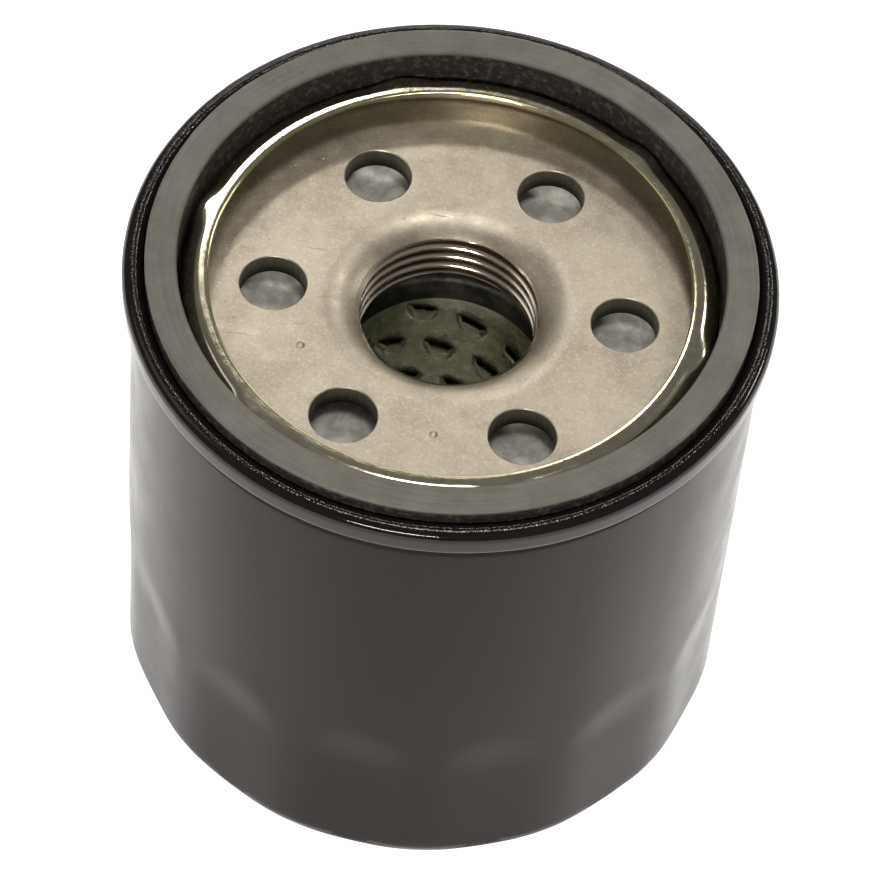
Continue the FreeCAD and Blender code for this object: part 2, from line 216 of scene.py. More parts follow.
def bent_path(corners, straight_step=50.0, turn_step_deg=9.0):
    """Points and left-hand normals along (r, z) or (r, z, bend radius) corners."""
    corner_points = [np.array(corner[:2], float) for corner in corners]
    last = len(corners) - 1
    shortest = 1e-6
    points = []
    normals = []

    def add(point, direction):
        if points and np.linalg.norm(point - points[-1]) < shortest:
            return
        points.append(point)
        normals.append(np.array([-direction[1], direction[0]]))

    def add_straight(start, end):
        run = end - start
        length = np.linalg.norm(run)
        if length < shortest:
            return
        steps = max(1, int(np.ceil(length / straight_step)))
        for i in range(steps + 1):
            add(start + run * i / steps, run / length)

    position = corner_points[0]
    for i in range(1, last + 1):
        corner = corner_points[i]
        bend = corners[i][2] if len(corners[i]) > 2 and i < last else 0
        if not bend:
            add_straight(position, corner)
            position = corner
            continue
        arriving = corner - corner_points[i - 1]
        arriving = arriving / np.linalg.norm(arriving)
        leaving = corner_points[i + 1] - corner
        leaving = leaving / np.linalg.norm(leaving)
        turn = atan2(arriving[0] * leaving[1] - arriving[1] * leaving[0], float(arriving @ leaving))
        reach = bend * tan(abs(turn) / 2)
        entry = corner - arriving * reach
        add_straight(position, entry)
        side = np.array([-arriving[1], arriving[0]]) * (1 if turn > 0 else -1)
        centre = entry + side * bend
        steps = max(3, int(np.ceil(abs(turn) / radians(turn_step_deg))))
        for step in range(1, steps + 1):
            angle = turn * step / steps
            swing = np.array([[cos(angle), -sin(angle)], [sin(angle), cos(angle)]])
            add(centre + swing @ (entry - centre), swing @ arriving)
        position = corner + leaving * reach
    return np.array(points), np.array(normals)


def sheet_outline(corners, thickness, straight_step=50.0, turn_step_deg=9.0, round_start=True):
    """Closed outline of a sheet of even thickness about a bent path, with rounded edges."""
    cap_steps = 6
    points, normals = bent_path(corners, straight_step, turn_step_deg)
    half = thickness / 2
    left = points + normals * half
    right = points - normals * half

    def end_cap(point, normal, outward):
        cap = []
        for step in range(1, cap_steps):
            angle = pi * step / cap_steps
            cap.append(point + normal * half * cos(angle) + outward * half * sin(angle))
        return np.array(cap)

    end_out = np.array([normals[-1][1], -normals[-1][0]])
    loop = [left, end_cap(points[-1], normals[-1], end_out), right[::-1]]
    if round_start:
        start_out = np.array([-normals[0][1], normals[0][0]])
        loop.append(end_cap(points[0], -normals[0], start_out))
    return np.vstack(loop)


def closed_outline(corners, straight_step=50.0, turn_step_deg=9.0):
    """Closed outline through bent corners. The first corner is never bent."""
    points, _ = bent_path(corners + [corners[0][:2]], straight_step, turn_step_deg)
    return points[:-1]


# ---------------------------------------------------------------- meshes

def add_piece(name, vertices, faces, material, sharp_deg=32.0):
    """Mesh object from millimetre vertices, smooth except over sharp angles."""
    mesh = bpy.data.meshes.new(name)
    mesh.from_pydata((np.asarray(vertices) * MM).tolist(), [], faces)
    mesh.update()
    finish_mesh(mesh, sharp_deg)
    piece = bpy.data.objects.new(name, mesh)
    bpy.context.scene.collection.objects.link(piece)
    piece.data.materials.append(material)
    return piece


def finish_mesh(mesh, sharp_deg):
    """Merge doubled vertices, point the faces outward and shade smooth except over sharp angles."""
    shape = bmesh.new()
    shape.from_mesh(mesh)
    bmesh.ops.remove_doubles(shape, verts=shape.verts, dist=merge_distance)
    bmesh.ops.dissolve_degenerate(shape, edges=shape.edges, dist=merge_distance / 10)
    bmesh.ops.recalc_face_normals(shape, faces=shape.faces)
    shape.to_mesh(mesh)
    shape.free()
    mesh.shade_smooth()
    mesh.set_sharp_from_angle(angle=radians(sharp_deg))


def polar_grid(r, z, angle):
    """Vertices of a grid given its radius, height and angle arrays, all (angles, rows)."""
    return np.stack([r * np.cos(angle), r * np.sin(angle), z], axis=-1).reshape(-1, 3)


def grid_faces(columns, rows, closed_rows, first=0):
    """Quads of a grid that closes round its columns, and along its rows if asked."""
    faces = []
    row_count = rows if closed_rows else rows - 1
    for column in range(columns):
        here = first + column * rows
        beside = first + ((column + 1) % columns) * rows
        for row in range(row_count):
            after = (row + 1) % rows
            faces.append((here + row, beside + row, beside + after, here + after))
    return faces


def lathe(outline, segments, closed=True, reshape=None):
    """Vertices and faces of an outline turned about the axis. reshape may move r and z by angle."""
    angles = np.arange(segments) * 2 * pi / segments
    angle = np.repeat(angles[:, None], len(outline), axis=1)
    r = np.repeat(outline[None, :, 0], segments, axis=0)
    z = np.repeat(outline[None, :, 1], segments, axis=0)
    if reshape:
        r, z = reshape(r, z, angle)
    return polar_grid(r, z, angle), grid_faces(segments, len(outline), closed)


def place(piece, body, slot, *nodes):
    """Fix a piece to its body and hide the CAD nodes it stands for. The slot is not used."""
    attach(piece, body)
    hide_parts(*nodes)


def ramp(value, start, run):
    """0 before the start, rising evenly to 1 over the run. A negative run rises downward."""
    return np.clip((value - start) / run, 0, 1)


def near_angle(angle, phase_deg, count):
    """Angle in degrees from the nearest of evenly spaced directions."""
    pitch = 360.0 / count
    offset = np.degrees(angle) - phase_deg
    return (offset + pitch / 2) % pitch - pitch / 2


def ripple(angle, size, orders, seed):
    """Sum of a few sine waves round the axis, for slightly uneven pressings and mouldings."""
    source = np.random.default_rng(seed)
    total = np.zeros_like(angle)
    for order in orders:
        phase = source.uniform(0, 2 * pi)
        total += np.sin(order * angle + phase) * source.uniform(0.5, 1.0)
    return total * size / len(orders)


# ---------------------------------------------------------------- shader helpers

class Surface:
    """A Principled material being built in object space, in metres."""

    def __init__(self, name, **sockets):
        self.material = bpy.data.materials.new(name)
        self.material.use_nodes = True
        self.tree = self.material.node_tree
        self.tree.nodes.clear()
        output = self.tree.nodes.new("ShaderNodeOutputMaterial")
        self.shader = self.tree.nodes.new("ShaderNodeBsdfPrincipled")
        self.tree.links.new(self.shader.outputs["BSDF"], output.inputs["Surface"])
        for socket, value in sockets.items():
            self.shader.inputs[socket.replace("_", " ")].default_value = value
        self.place = self.tree.nodes.new("ShaderNodeTexCoord").outputs["Object"]

    def node(self, kind, inputs, output=0, **settings):
        """Add a node. Inputs are (index or name, value or socket) pairs."""
        made = self.tree.nodes.new(kind)
        for setting, value in settings.items():
            setattr(made, setting, value)
        for key, value in inputs:
            if isinstance(value, bpy.types.NodeSocket):
                self.tree.links.new(value, made.inputs[key])
            else:
                made.inputs[key].default_value = value
        return made.outputs[output]

    def drive(self, socket, source):
        """Feed one of the shader's own inputs."""
        self.tree.links.new(source, self.shader.inputs[socket])

    def stretch(self, x, y, z):
        """Object coordinates scaled unevenly."""
        return self.node("ShaderNodeVectorMath", [(0, self.place), (1, (x, y, z))],
                         operation="MULTIPLY")

    def noise(self, scale, detail=2.0, roughness=0.5, vector=None, distortion=0.0):
        return self.node("ShaderNodeTexNoise", [
            ("Vector", vector or self.place), ("Scale", scale), ("Detail", detail),
            ("Roughness", roughness), ("Distortion", distortion)], output="Fac")

    def cells(self, scale):
        """Distance to the nearest of many scattered points."""
        return self.node("ShaderNodeTexVoronoi", [("Vector", self.place), ("Scale", scale)],
                         output="Distance")

    def math(self, operation, first, second=0.0):
        return self.node("ShaderNodeMath", [(0, first), (1, second)], operation=operation)

    def remap(self, value, low, high, new_low, new_high):
        """Smooth step of a value from one range to another."""
        return self.node("ShaderNodeMapRange", [
            ("Value", value), ("From Min", low), ("From Max", high),
            ("To Min", new_low), ("To Max", new_high)], interpolation_type="SMOOTHSTEP")

    def mix(self, amount, first, second):
        """Mix of two colours."""
        return self.node("ShaderNodeMix", [(0, amount), (6, first), (7, second)],
                         output=2, data_type="RGBA")

    def blend(self, amount, first, second):
        """Mix of two numbers."""
        return self.node("ShaderNodeMix", [(0, amount), (2, first), (3, second)],
                         output=0, data_type="FLOAT")

    def polar(self):
        """Distance from the axis, angle about it, and height."""
        x, y, z = self.axes()
        across = self.node("ShaderNodeCombineXYZ", [(0, x), (1, y)])
        radius = self.node("ShaderNodeVectorMath", [(0, across)],
                           output="Value", operation="LENGTH")
        return radius, self.math("ARCTAN2", y, x), z

    def axes(self):
        split = self.tree.nodes.new("ShaderNodeSeparateXYZ")
        self.tree.links.new(self.place, split.inputs[0])
        return split.outputs[0], split.outputs[1], split.outputs[2]

    def bump(self, height, distance, under=None):
        """Relief of a given depth in metres, on top of any relief under it."""
        inputs = [("Height", height), ("Distance", distance)]
        if under:
            inputs.append(("Normal", under))
        return self.node("ShaderNodeBump", inputs)


def rgb(red, green, blue):
    return (red, green, blue, 1.0)


# ---------------------------------------------------------------- materials

def black_enamel():
    """Baked semi-gloss enamel with orange peel, faint brown tint and a little dust."""
    s = Surface("black_enamel", Specular_IOR_Level=0.12)
    tint = s.noise(55, 3, 0.6)
    colour = s.mix(tint, rgb(0.0060, 0.0022, 0.0018), rgb(0.0100, 0.0046, 0.0040))
    dust = s.remap(s.cells(900), 0.0, 0.055, 0.5, 0.0)
    s.drive("Base Color", s.mix(dust, colour, rgb(0.30, 0.28, 0.26)))
    s.drive("Roughness", s.remap(s.noise(160, 4, 0.6), 0.25, 0.75, 0.20, 0.28))
    peel = s.bump(s.noise(900, 2, 0.5), 0.0000030)
    s.drive("Normal", s.bump(s.noise(5200, 2, 0.6), 0.0000008, under=peel))
    return s.material


def lid_finish():
    """Glossy enamel on the rolled seam, bare bright sheet with a straw tint on the inner lip."""
    s = Surface("lid_enamel_and_bare_lip", Specular_IOR_Level=0.30)
    radius, angle, height = s.polar()
    painted = s.remap(radius, paint_edge_r * MM, (paint_edge_r + paint_fade) * MM, 0.0, 1.0)
    steel = s.mix(s.noise(420, 4, 0.65), rgb(0.40, 0.37, 0.28), rgb(0.64, 0.61, 0.50))
    straw = s.remap(radius, 0.0250, 0.0256, 0.75, 0.0)
    steel = s.mix(straw, steel, rgb(0.62, 0.60, 0.30))
    black = s.mix(s.noise(90, 2), rgb(0.0040, 0.0034, 0.0034), rgb(0.0100, 0.0080, 0.0078))
    s.drive("Base Color", s.mix(painted, steel, black))
    s.drive("Metallic", s.math("SUBTRACT", 1.0, painted))
    bare_rough = s.remap(s.noise(1500, 4, 0.6), 0.3, 0.7, 0.10, 0.15)
    paint_rough = s.remap(s.noise(240, 3, 0.6), 0.3, 0.7, 0.06, 0.11)
    s.drive("Roughness", s.blend(painted, bare_rough, paint_rough))
    wrinkle_place = s.node("ShaderNodeCombineXYZ", [
        (0, s.math("MULTIPLY", angle, 112.0)), (1, s.math("MULTIPLY", radius, 900.0)),
        (2, s.math("MULTIPLY", height, 900.0))])
    wrinkles = s.noise(1.0, 2, 0.5, vector=wrinkle_place)
    peel = s.bump(s.noise(1500, 2, 0.5), s.blend(painted, 0.0000008, 0.000010))
    shoulder = s.remap(radius, wrinkle_r * MM, (wrinkle_r + wrinkle_fade) * MM, 1.0, 0.12)
    depth = s.math("MULTIPLY", s.math("MULTIPLY", painted, shoulder), 0.00009)
    rolled = s.bump(wrinkles, depth, under=peel)
    s.drive("Normal", s.bump(s.noise(6000, 2, 0.5), 0.0000004, under=rolled))
    return s.material


def plate_steel():
    """Bare pickled steel: mottled warm grey with fine grain, pits and a few scratches."""
    s = Surface("pickled_plate_steel", Metallic=0.95)
    cloud = s.noise(150, 5, 0.65)
    grain = s.noise(3200, 3, 0.7)
    mottle = s.remap(cloud, 0.3, 0.7, 0.0, 1.0)
    base = s.mix(mottle, rgb(0.305, 0.270, 0.225), rgb(0.42, 0.38, 0.32))
    base = s.mix(s.remap(grain, 0.45, 0.75, 0.0, 0.45), base, rgb(0.60, 0.56, 0.48))
    pits = s.remap(s.cells(1500), 0.0, 0.16, 0.45, 0.0)
    s.drive("Base Color", s.mix(pits, base, rgb(0.16, 0.135, 0.11)))
    s.drive("Roughness", s.remap(s.noise(420, 4, 0.6), 0.25, 0.75, 0.38, 0.48))
    fine = s.bump(grain, 0.0000045)
    soft = s.bump(s.noise(700, 3, 0.6), 0.0000060, under=fine)
    scratch_lines = s.noise(1.0, 3, 0.55, vector=s.stretch(260, 4200, 900))
    scratches = s.remap(scratch_lines, 0.66, 0.70, 0.0, 1.0)
    nicks = s.remap(s.cells(620), 0.03, 0.10, 1.0, 0.0)
    scored = s.bump(scratches, 0.000014, under=soft)
    s.drive("Normal", s.bump(nicks, 0.00003, under=scored))
    return s.material


def sheared_steel():
    """Punched hole wall: dark, with vertical shear marks, and painted shade that goes nearly black
    towards its lower edge.
    """
    s = Surface("sheared_hole_wall", Metallic=0.9)
    marks = s.noise(1.0, 4, 0.6, vector=s.stretch(2600, 2600, 320))
    _, _, height = s.axes()
    bottom = (plate_top_z - plate_thickness + 0.1) * MM
    near_top = s.remap(height, bottom, (plate_top_z - 0.2) * MM, 0.0, 1.0)
    shorn = s.mix(marks, rgb(0.12, 0.115, 0.09), rgb(0.26, 0.25, 0.20))
    # Painted shade: the wall's colour fades to near black towards the plate's underside.
    s.drive("Base Color", s.mix(near_top, rgb(0.020, 0.018, 0.014), shorn))
    s.drive("Roughness", s.remap(marks, 0.3, 0.7, 0.55, 0.38))
    s.drive("Normal", s.bump(marks, 0.00002))
    return s.material


def cut_thread_steel():
    """Machined thread: bright crests, brown oily roots."""
    s = Surface("cut_thread_steel", Metallic=1.0)
    radius, _, height = s.polar()
    root = s.remap(radius, (thread_minor_r + 0.06) * MM, (thread_minor_r + 0.41) * MM, 0.0, 1.0)
    inside = s.remap(height, (entry_edge_z - 0.55) * MM, (entry_edge_z - 0.25) * MM, 1.0, 0.0)
    depth = s.math("MULTIPLY", root, inside)
    s.drive("Base Color", s.mix(depth, rgb(0.80, 0.74, 0.66), rgb(0.060, 0.032, 0.020)))
    s.drive("Roughness", s.blend(depth, 0.17, 0.36))
    lines = s.noise(1.0, 3, 0.6, vector=s.stretch(120, 120, 9000))
    s.drive("Normal", s.bump(lines, 0.000004))
    return s.material


def gasket_rubber():
    """Dull black-grey nitrile with fine concentric marks and a grey bloom on its face. Its side walls
    carry painted shade: much darker, with a dusting of powder.
    """
    s = Surface("gasket_rubber", Specular_IOR_Level=0.35)
    radius, angle, height = s.polar()
    rings = s.node("ShaderNodeCombineXYZ", [
        (0, s.math("MULTIPLY", radius, 4200)), (1, s.math("MULTIPLY", angle, 1.6))])
    marks = s.noise(1.0, 3, 0.6, vector=rings)
    bloom = s.noise(210, 5, 0.65)
    tone = s.math("ADD", s.math("MULTIPLY", marks, 0.45), s.math("MULTIPLY", bloom, 0.55))
    tone = s.remap(tone, 0.3, 0.7, 0.0, 1.0)
    face = s.mix(tone, rgb(0.092, 0.088, 0.080), rgb(0.165, 0.158, 0.144))
    top = s.remap(height, (total_height - 0.6) * MM, (total_height - 0.2) * MM, 0.0, 1.0)
    powder = s.remap(s.noise(1300, 4, 0.7), 0.48, 0.72, 0.0, 1.0)
    # Painted shade: the side walls are coloured much darker than the face, mottled with dusty powder.
    wall = s.mix(powder, rgb(0.018, 0.015, 0.014), rgb(0.090, 0.082, 0.074))
    s.drive("Base Color", s.mix(top, wall, face))
    s.drive("Roughness", s.remap(marks, 0.3, 0.7, 0.52, 0.70))
    lines = s.bump(marks, 0.000010)
    s.drive("Normal", s.bump(s.noise(1800, 3, 0.6), 0.000010, under=lines))
    return s.material


def valve_rubber_finish():
    """Moulded grey rubber with a dusty, slightly streaked surface."""
    s = Surface("valve_rubber", Specular_IOR_Level=0.6)
    streaks = s.remap(s.noise(700, 4, 0.6, distortion=0.4), 0.35, 0.68, 0.0, 1.0)
    s.drive("Base Color", s.mix(streaks, rgb(0.36, 0.362, 0.34), rgb(0.58, 0.58, 0.55)))
    s.drive("Roughness", s.remap(s.noise(600, 3), 0.3, 0.7, 0.32, 0.46))
    brushed = s.noise(1.0, 4, 0.7, vector=s.stretch(900, 3200, 900))
    s.drive("Normal", s.bump(brushed, 0.00003))
    return s.material


def tinplate():
    """Half-bright pressed tinplate with rolling lines and spangle."""
    s = Surface("tinplate", Metallic=0.85)
    spangle = s.cells(700)
    s.drive("Base Color", s.mix(spangle, rgb(0.62, 0.63, 0.53), rgb(0.90, 0.90, 0.78)))
    s.drive("Roughness", s.remap(s.noise(500, 4, 0.6), 0.3, 0.7, 0.20, 0.40))
    s.drive("Normal", s.bump(s.noise(1.0, 3, 0.6, vector=s.stretch(300, 300, 5200)), 0.000004))
    return s.material


def stained_tinplate():
    """Tinplate of the upper cap, coloured nearly black as painted shade, so that the space below the
    hub reads as a dark gap.
    """
    s = Surface("stained_tinplate", Metallic=0.7)
    stain = s.noise(380, 4, 0.6)
    depth = s.remap(stain, 0.35, 0.65, 0.0, 1.0)
    # Painted shade: near-black tinplate with a faint mottle, standing in for the shadow under the hub.
    s.drive("Base Color", s.mix(depth, rgb(0.020, 0.019, 0.016), rgb(0.07, 0.066, 0.055)))
    s.drive("Roughness", s.remap(s.noise(900, 3), 0.3, 0.7, 0.45, 0.62))
    s.drive("Normal", s.bump(stain, 0.00003))
    return s.material


def filter_paper():
    """Resin-treated pleated paper with fibres."""
    s = Surface("filter_paper", Roughness=0.85, Specular_IOR_Level=0.25)
    fibres = s.noise(1.0, 5, 0.7, vector=s.stretch(2400, 2400, 500), distortion=1.2)
    s.drive("Base Color", s.mix(fibres, rgb(0.50, 0.31, 0.12), rgb(0.80, 0.60, 0.32)))
    s.drive("Normal", s.bump(fibres, 0.00005))
    return s.material


def potting_adhesive():
    """Cured adhesive, glossy and slightly uneven."""
    s = Surface("potting_adhesive", Specular_IOR_Level=0.5, Roughness=0.35)
    s.drive("Base Color", s.mix(s.noise(260, 4), rgb(0.16, 0.12, 0.08), rgb(0.30, 0.24, 0.17)))
    s.drive("Normal", s.bump(s.noise(420, 3), 0.00008))
    return s.material


def spring_steel():
    """Oil-tempered wire, dark blue-grey with draw marks."""
    s = Surface("spring_steel", Metallic=1.0)
    s.drive("Base Color", s.mix(s.noise(700, 4, 0.6), rgb(0.20, 0.19, 0.18), rgb(0.46, 0.45, 0.43)))
    s.drive("Roughness", s.remap(s.noise(1500, 3), 0.3, 0.7, 0.24, 0.42))
    s.drive("Normal", s.bump(s.noise(4000, 3), 0.000004))
    return s.material


def seam_compound():
    """Black rubbery compound inside the rolled seam."""
    s = Surface("seam_compound", Roughness=0.6)
    s.drive("Base Color", s.mix(s.noise(900, 3), rgb(0.02, 0.02, 0.02), rgb(0.06, 0.055, 0.05)))
    s.drive("Normal", s.bump(s.noise(1200, 3), 0.00002))
    return s.material


enamel = black_enamel()
lid_material = lid_finish()
plate_material = plate_steel()
thread_material = cut_thread_steel()
sheared_material = sheared_steel()
gasket_material = gasket_rubber()
valve_material = valve_rubber_finish()
tin_material = tinplate()
stained_material = stained_tinplate()
paper_material = filter_paper()
potting_material = potting_adhesive()
spring_material = spring_steel()
compound_material = seam_compound()


# ---------------------------------------------------------------- pieces

def soft_min(first, second, width):
    """The smaller of two arrays, with the corner between them rounded."""
    near = np.clip(width - np.abs(first - second), 0, None) / width
    return np.minimum(first, second) - near * near * width / 4


def press_flats(r, z, angle):
    """Push the can's wall in to its wrench flats, which fade out at the top."""
    from_centre = np.radians(near_angle(angle, flat_phase_deg, flat_count))
    start_z = flat_top_z - flat_runout_lead
    runout = np.clip((z - start_z) / (flat_runout + flat_runout_lead), 0, None)
    reach = can_outer_r + flat_runout_excess - flat_distance
    face = flat_distance + reach * runout * runout
    inner_side = r < can_outer_r - can_sheet * 0.6
    face = np.where(inner_side, face - can_sheet, face) / np.cos(from_centre)
    pressed = soft_min(r, face, flat_edge_softness)
    return np.where(z < flat_top_z + 2 * flat_runout, pressed, r), z


def make_can():
    """Drawn can: foot, wrench flats, wall, neck and the hook inside the seam."""
    half = can_sheet / 2
    wall_r = can_outer_r - half
    neck_r = groove_outer_r + lid_sheet / 2 + seam_gap + half
    hook_width = lid_sheet + can_sheet + 2 * seam_gap
    hook_top_z = seam_top_z - lid_sheet - seam_gap - half
    recess_z = foot_recess_depth + half
    outline = sheet_outline([
        (0.0, recess_z), (foot_recess_r, recess_z, foot_recess_bend_r),
        (foot_recess_r + foot_recess_slope, half, foot_recess_bend_r),
        (wall_r, half, foot_corner_r - half), (wall_r, flat_top_z),
        (wall_r, below(neck_low_drop), neck_bend_r), (neck_r, below(neck_high_drop), neck_bend_r),
        (neck_r, hook_top_z, hook_width / 2), (neck_r + hook_width, hook_top_z, hook_width / 2),
        (neck_r + hook_width, below(hook_end_drop))],
        can_sheet, straight_step=0.8, turn_step_deg=8, round_start=False)
    vertices, faces = lathe(outline, flat_count * flat_columns, closed=False, reshape=press_flats)
    can = add_piece("can_body", vertices, faces, enamel, sharp_deg=40)
    place(can, "filter", "can_paint", "can_shell")


def shape_lid(r, z, angle):
    """Pinch the lip outward at the crimps and make the rolled seam slightly uneven."""
    offset = near_angle(angle, crimp_phase_deg, crimp_count)
    pinch = np.cos(np.clip(np.abs(offset) / crimp_half_deg, 0, 1) * pi / 2) ** 2
    up_the_lip = ramp(z, below(crimp_foot_drop), crimp_rise)
    past_edge = ramp(r, lip_inner_r + 0.6, 1.6)
    on_lip = r < groove_inner_r + 0.3
    bulge = np.where(on_lip, pinch * up_the_lip * past_edge, 0)
    # The lip's outer side has the gasket close by, so it is pushed out less than its crest.
    room = 1 - ramp(r, 26.9, 1.0) * 0.6
    r = r + bulge * room * crimp_push
    z = z + bulge * ramp(r, 26.2, 1.6) * crimp_lift
    rolled = ramp(r, groove_outer_r, 1.5)
    wave = ripple(angle, seam_wave, (2, 3, 5, 9, 14, 23, 31), 4)
    wave = wave + ripple(angle, seam_fine_wave, (61, 83, 97, 131), 5) - seam_inset
    return r + wave * rolled, z + wave * rolled * 0.5


def make_lid():
    """Lid sheet with its lip, gasket groove and rolled seam."""
    half = lid_sheet / 2
    lip_z = below(lip_top_drop + half)
    floor_z = below(groove_floor_drop + half)
    roof_z = seam_top_z - half
    outer_r = seam_outer_r - half
    roof_bend = (outer_r - groove_outer_r) / 2
    tuck_width = lid_sheet + can_sheet + 2 * seam_gap
    tuck_z = below(seam_bottom_drop - half)
    outline = sheet_outline([
        (lip_inner_r + half, lip_z), (groove_inner_r, lip_z, lip_bend_r),
        (groove_inner_r, floor_z, groove_inner_bend_r),
        (groove_outer_r, floor_z, groove_outer_bend_r),
        (groove_outer_r, roof_z, roof_bend), (outer_r, roof_z, roof_bend),
        (outer_r, tuck_z, tuck_width / 2), (outer_r - tuck_width, tuck_z, tuck_width / 2),
        (outer_r - tuck_width, below(tuck_end_drop))],
        lid_sheet, straight_step=0.5, turn_step_deg=7)
    vertices, faces = lathe(outline, 540, reshape=shape_lid)
    lid = add_piece("lid_and_rolled_seam", vertices, faces, lid_material, sharp_deg=50)
    place(lid, "filter", "lid_steel", "seaming_lid")


def shape_gasket(r, z, angle):
    """Make the cut ring slightly uneven, more on its outer side."""
    outward = np.where(r > (gasket_inner_r + gasket_outer_r) / 2, 1.0, -0.4)
    uneven = ripple(angle, gasket_wave, (3, 7, 11, 17, 29, 47), 8) - gasket_inset
    return r + outward * uneven, z


def make_gasket():
    """Square-cut sealing ring with softened edges."""
    floor_z = below(groove_floor_drop)
    middle_r = (gasket_inner_r + gasket_outer_r) / 2
    outline = closed_outline([
        (middle_r, floor_z), (gasket_outer_r, floor_z, gasket_foot_edge_r),
        (gasket_outer_r, total_height, gasket_face_edge_r),
        (gasket_inner_r, total_height, gasket_face_edge_r),
        (gasket_inner_r, floor_z, gasket_foot_edge_r)], straight_step=0.6)
    vertices, faces = lathe(outline, 480, reshape=shape_gasket)
    gasket = add_piece("sealing_ring", vertices, faces, gasket_material, sharp_deg=60)
    place(gasket, "filter", "gasket_rubber", "sealing_gasket")


def thread_radius(height_in_pitch):
    """Radius of the 60 degree internal thread at a place within one pitch."""
    from_root = np.abs((height_in_pitch / thread_pitch) % 1.0 - 0.5) * thread_pitch
    root = thread_pitch / 16
    mouth = thread_pitch * 3 / 8
    share = ramp(from_root, root, mouth - root)
    return thread_major_r + (thread_minor_r - thread_major_r) * share


def thread_wall(segments, rows_per_pitch):
    """Helical thread surface as a grid whose rows follow the helix, clipped at both ends."""
    bottom_z = hub_bottom_z
    top_z = entry_edge_z
    bottom_r = thread_minor_r + bore_chamfer
    rows = int((top_z - bottom_z) / thread_pitch + 3) * rows_per_pitch
    angles = np.arange(segments) * 2 * pi / segments
    vertices = []
    start = bottom_z - 1.2 * thread_pitch
    for angle in angles:
        step = np.arange(rows) * thread_pitch / rows_per_pitch
        z = start + thread_pitch * angle / (2 * pi) + step
        clipped = np.clip(z, bottom_z, top_z)
        r = thread_radius(step)
        upper = entry_edge_r - (top_z - clipped) * entry_slope
        lower = bottom_r - (clipped - bottom_z)
        r = np.maximum(r, np.maximum(upper, lower))
        r = np.where(z >= top_z, entry_edge_r, np.where(z <= bottom_z, bottom_r, r))
        vertices.append(np.stack([r * cos(angle), r * sin(angle), clipped], axis=-1))
    faces = []
    for column in range(segments):
        here = column * rows
        closes_round = column == segments - 1
        beside = rows_per_pitch if closes_round else here + rows
        open_rows = rows - 1 - (rows_per_pitch if closes_round else 0)
        for row in range(open_rows):
            faces.append((here + row, beside + row, beside + row + 1, here + row + 1))
    return np.vstack(vertices), faces


def hole_cutters():
    """Tools for the six inlet holes, flared at the top, and for the punch marks."""
    top = plate_top_z
    flare = inlet_flare
    below_plate = top - 2 * plate_thickness
    above_plate = top + 1.0
    outline = np.array([
        (0, below_plate), (inlet_r, below_plate), (inlet_r, top - flare),
        (inlet_r + flare * 0.2, top - flare * 0.6), (inlet_r + flare * 0.5, top - flare * 0.25),
        (inlet_r + flare, top), (inlet_r + flare + 1.0, above_plate), (0, above_plate)])
    hole_vertices, hole_faces = lathe(outline, 72, closed=True)
    vertices = []
    faces = []

    def add_copy(shape, shape_faces, radius, angle_deg):
        first = sum(len(part) for part in vertices)
        angle = radians(angle_deg)
        vertices.append(shape + np.array([radius * cos(angle), radius * sin(angle), 0]))
        faces.extend(tuple(first + index for index in face) for face in shape_faces)

    for i in range(inlet_count):
        add_copy(hole_vertices, hole_faces, inlet_circle_r, inlet_phase_deg + 360.0 * i / inlet_count)
    turn = np.linspace(0, pi, 25)
    ball_z = top + mark_ball_r - mark_depth
    arc = np.stack([mark_ball_r * np.sin(turn), ball_z - mark_ball_r * np.cos(turn)], axis=-1)
    ball_vertices, ball_faces = lathe(arc, 48, closed=False)
    for radius, angle_deg in mark_places:
        add_copy(ball_vertices, ball_faces, radius, angle_deg)
    return add_piece("hole_cutters", np.vstack(vertices), faces, plate_material)


def make_plate():
    """Base plate: drawn hub with a helical thread, six inlet holes and two punch marks."""
    segments = 360
    under_z = plate_top_z - plate_thickness
    # The corner at hub_blend_r and the one near the rim keep the flat face's shading flat.
    profile, _ = bent_path([
        (thread_minor_r + bore_chamfer, hub_bottom_z), (hub_outer_r, hub_bottom_z, 0.6),
        (hub_outer_r, under_z, 1.2), (plate_rim_r, under_z, 0.8), (plate_rim_r, plate_top_z, 0.3),
        (plate_rim_r - 0.5, plate_top_z), (hub_blend_r, plate_top_z),
        (entry_corner_r, plate_top_z, entry_round_r), (entry_edge_r, entry_edge_z)], turn_step_deg=3)
    body_vertices, body_faces = lathe(profile, segments, closed=False)
    thread_vertices, thread_faces = thread_wall(segments, 20)
    offset = len(body_vertices)
    faces = body_faces + [tuple(offset + index for index in face) for face in thread_faces]
    vertices = np.vstack([body_vertices, thread_vertices])
    plate = add_piece("threaded_base_plate", vertices, faces, plate_material)
    cutters = hole_cutters()
    cut = plate.modifiers.new("holes", "BOOLEAN")
    cut.operation = "DIFFERENCE"
    cut.solver = "EXACT"
    cut.object = cutters
    bpy.context.view_layer.update()
    evaluated = plate.evaluated_get(bpy.context.evaluated_depsgraph_get())
    mesh = bpy.data.meshes.new_from_object(evaluated)
    plate.modifiers.clear()
    plate.data = mesh
    cutter_mesh = cutters.data
    bpy.data.objects.remove(cutters)
    bpy.data.meshes.remove(cutter_mesh)
    mesh.materials.clear()
    for material in (plate_material, thread_material, sheared_material):
        mesh.materials.append(material)
    for face in mesh.polygons:
        middle = face.center / MM
        radius = sqrt(middle.x ** 2 + middle.y ** 2)
        in_bore = radius < thread_major_r + 0.05 and middle.z < entry_edge_z
        wall = abs(face.normal.z) < 0.3 and abs(radius - inlet_circle_r) < inlet_r + 0.5
        face.material_index = 1 if in_bore else 2 if wall else 0
    mesh.shade_smooth()
    mesh.set_sharp_from_angle(angle=radians(12))
    place(plate, "filter", "plate_steel", "base_plate")


